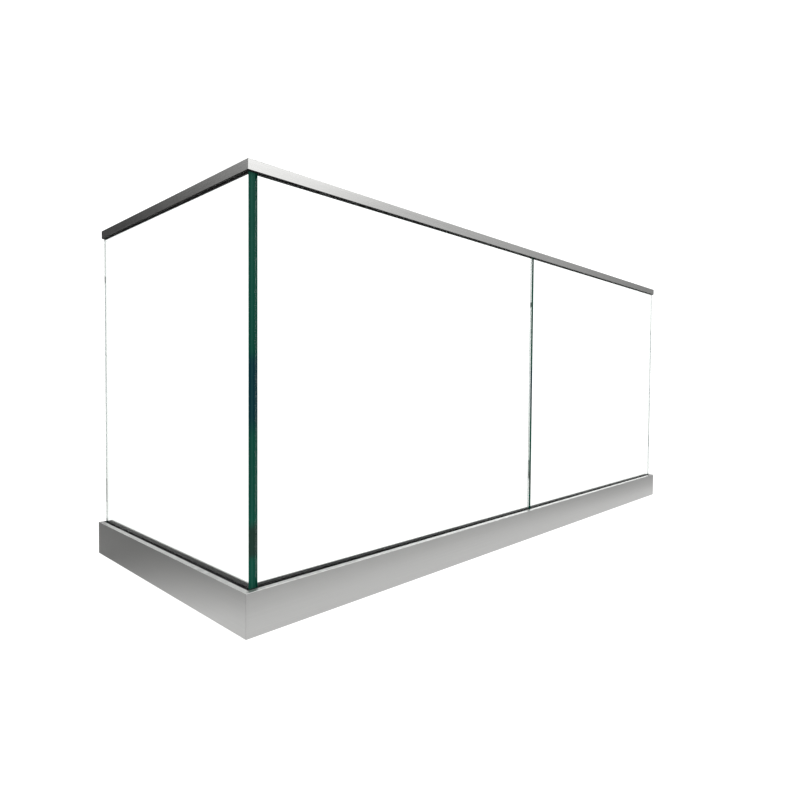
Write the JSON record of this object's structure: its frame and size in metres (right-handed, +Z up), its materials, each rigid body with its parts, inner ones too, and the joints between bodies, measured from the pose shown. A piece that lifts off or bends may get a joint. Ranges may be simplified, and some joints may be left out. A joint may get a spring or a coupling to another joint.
{
  "type": "glass balustrade corner",
  "caption": "Right-angled corner of a frameless glass balustrade: laminated panes clamped in a mitred aluminium base shoe, topped by a slim mitred cap rail.",
  "frame": {"origin": "middle of the footprint's box, on the floor", "axes": "+X along the long front run, away from the corner; +Y along the short side run, away from the corner and inwards; +Z up. The outer corner stands at (-1.25, -0.47, 0) m."},
  "size_m": [2.5, 0.94, 1.1],
  "materials": {
    "anodised_aluminium": "satin anodised, fine lengthwise extrusion grain",
    "brushed_stainless": "brushed lengthwise",
    "zinc_plated_steel": "bright zinc plate",
    "black_rubber": "matt black EPDM",
    "clear_glass": "clear, polished edges, green in depth",
    "clear_interlayer": "clear film",
    "grey_nylon": "moulded, matt",
    "green_nylon": "moulded, matt"
  },
  "bodies": {
    "balustrade": {"anchor_front_1": "zinc_plated_steel", "anchor_front_2": "zinc_plated_steel", "anchor_front_3": "zinc_plated_steel", "anchor_front_4": "zinc_plated_steel", "anchor_front_5": "zinc_plated_steel", "anchor_front_6": "zinc_plated_steel", "anchor_front_7": "zinc_plated_steel", "anchor_side_1": "zinc_plated_steel", "anchor_side_2": "zinc_plated_steel", "anchor_side_3": "zinc_plated_steel", "base_shoe_front": "anodised_aluminium", "base_shoe_side": "anodised_aluminium", "cap_corner_key": "zinc_plated_steel", "cap_end_plate_front": "brushed_stainless", "cap_end_plate_side": "brushed_stainless", "cap_gasket_front": "black_rubber", "cap_gasket_side": "black_rubber", "cap_rail_front": "brushed_stainless", "cap_rail_side": "brushed_stainless", "corner_splice_plate": "zinc_plated_steel", "corner_splice_screw_1": "zinc_plated_steel", "corner_splice_screw_2": "zinc_plated_steel", "end_plate_screw_front_1": "zinc_plated_steel", "end_plate_screw_front_2": "zinc_plated_steel", "end_plate_screw_side_1": "zinc_plated_steel", "end_plate_screw_side_2": "zinc_plated_steel", "fixed_taper_front_1": "grey_nylon", "fixed_taper_front_2": "grey_nylon", "fixed_taper_front_3": "grey_nylon", "fixed_taper_front_4": "grey_nylon", "fixed_taper_front_5": "grey_nylon", "fixed_taper_front_6": "grey_nylon", "fixed_taper_side_1": "grey_nylon", "fixed_taper_side_2": "grey_nylon", "pane_front_1_inner_ply": "clear_glass", "pane_front_1_interlayer": "clear_interlayer", "pane_front_1_outer_ply": "clear_glass", "pane_front_1_saddle": "grey_nylon", "pane_front_2_inner_ply": "clear_glass", "pane_front_2_interlayer": "clear_interlayer", "pane_front_2_outer_ply": "clear_glass", "pane_front_2_saddle": "grey_nylon", "pane_side_1_inner_ply": "clear_glass", "pane_side_1_interlayer": "clear_interlayer", "pane_side_1_outer_ply": "clear_glass", "pane_side_1_saddle": "grey_nylon", "shoe_end_plate_front": "anodised_aluminium", "shoe_end_plate_side": "anodised_aluminium", "shoe_gasket_inner_front": "black_rubber", "shoe_gasket_inner_side": "black_rubber", "shoe_gasket_outer_front": "black_rubber", "shoe_gasket_outer_side": "black_rubber"},
    "taper_front_1": {"sliding_taper_front_1": "green_nylon"},
    "taper_front_2": {"sliding_taper_front_2": "green_nylon"},
    "taper_front_3": {"sliding_taper_front_3": "green_nylon"},
    "taper_front_4": {"sliding_taper_front_4": "green_nylon"},
    "taper_front_5": {"sliding_taper_front_5": "green_nylon"},
    "taper_front_6": {"sliding_taper_front_6": "green_nylon"},
    "taper_side_1": {"sliding_taper_side_1": "green_nylon"},
    "taper_side_2": {"sliding_taper_side_2": "green_nylon"}
  },
  "joints": [
    {"name": "taper_front_1_slide", "type": "slide", "parent": "balustrade", "child": "taper_front_1", "axis": [1, 0, 0], "range_m": [0, 0.04]},
    {"name": "taper_front_2_slide", "type": "slide", "parent": "balustrade", "child": "taper_front_2", "axis": [1, 0, 0], "range_m": [0, 0.04]},
    {"name": "taper_front_3_slide", "type": "slide", "parent": "balustrade", "child": "taper_front_3", "axis": [1, 0, 0], "range_m": [0, 0.04]},
    {"name": "taper_front_4_slide", "type": "slide", "parent": "balustrade", "child": "taper_front_4", "axis": [1, 0, 0], "range_m": [0, 0.04]},
    {"name": "taper_front_5_slide", "type": "slide", "parent": "balustrade", "child": "taper_front_5", "axis": [1, 0, 0], "range_m": [0, 0.04]},
    {"name": "taper_front_6_slide", "type": "slide", "parent": "balustrade", "child": "taper_front_6", "axis": [1, 0, 0], "range_m": [0, 0.04]},
    {"name": "taper_side_1_slide", "type": "slide", "parent": "balustrade", "child": "taper_side_1", "axis": [0, 1, 0], "range_m": [0, 0.04]},
    {"name": "taper_side_2_slide", "type": "slide", "parent": "balustrade", "child": "taper_side_2", "axis": [0, 1, 0], "range_m": [0, 0.04]}
  ]
}
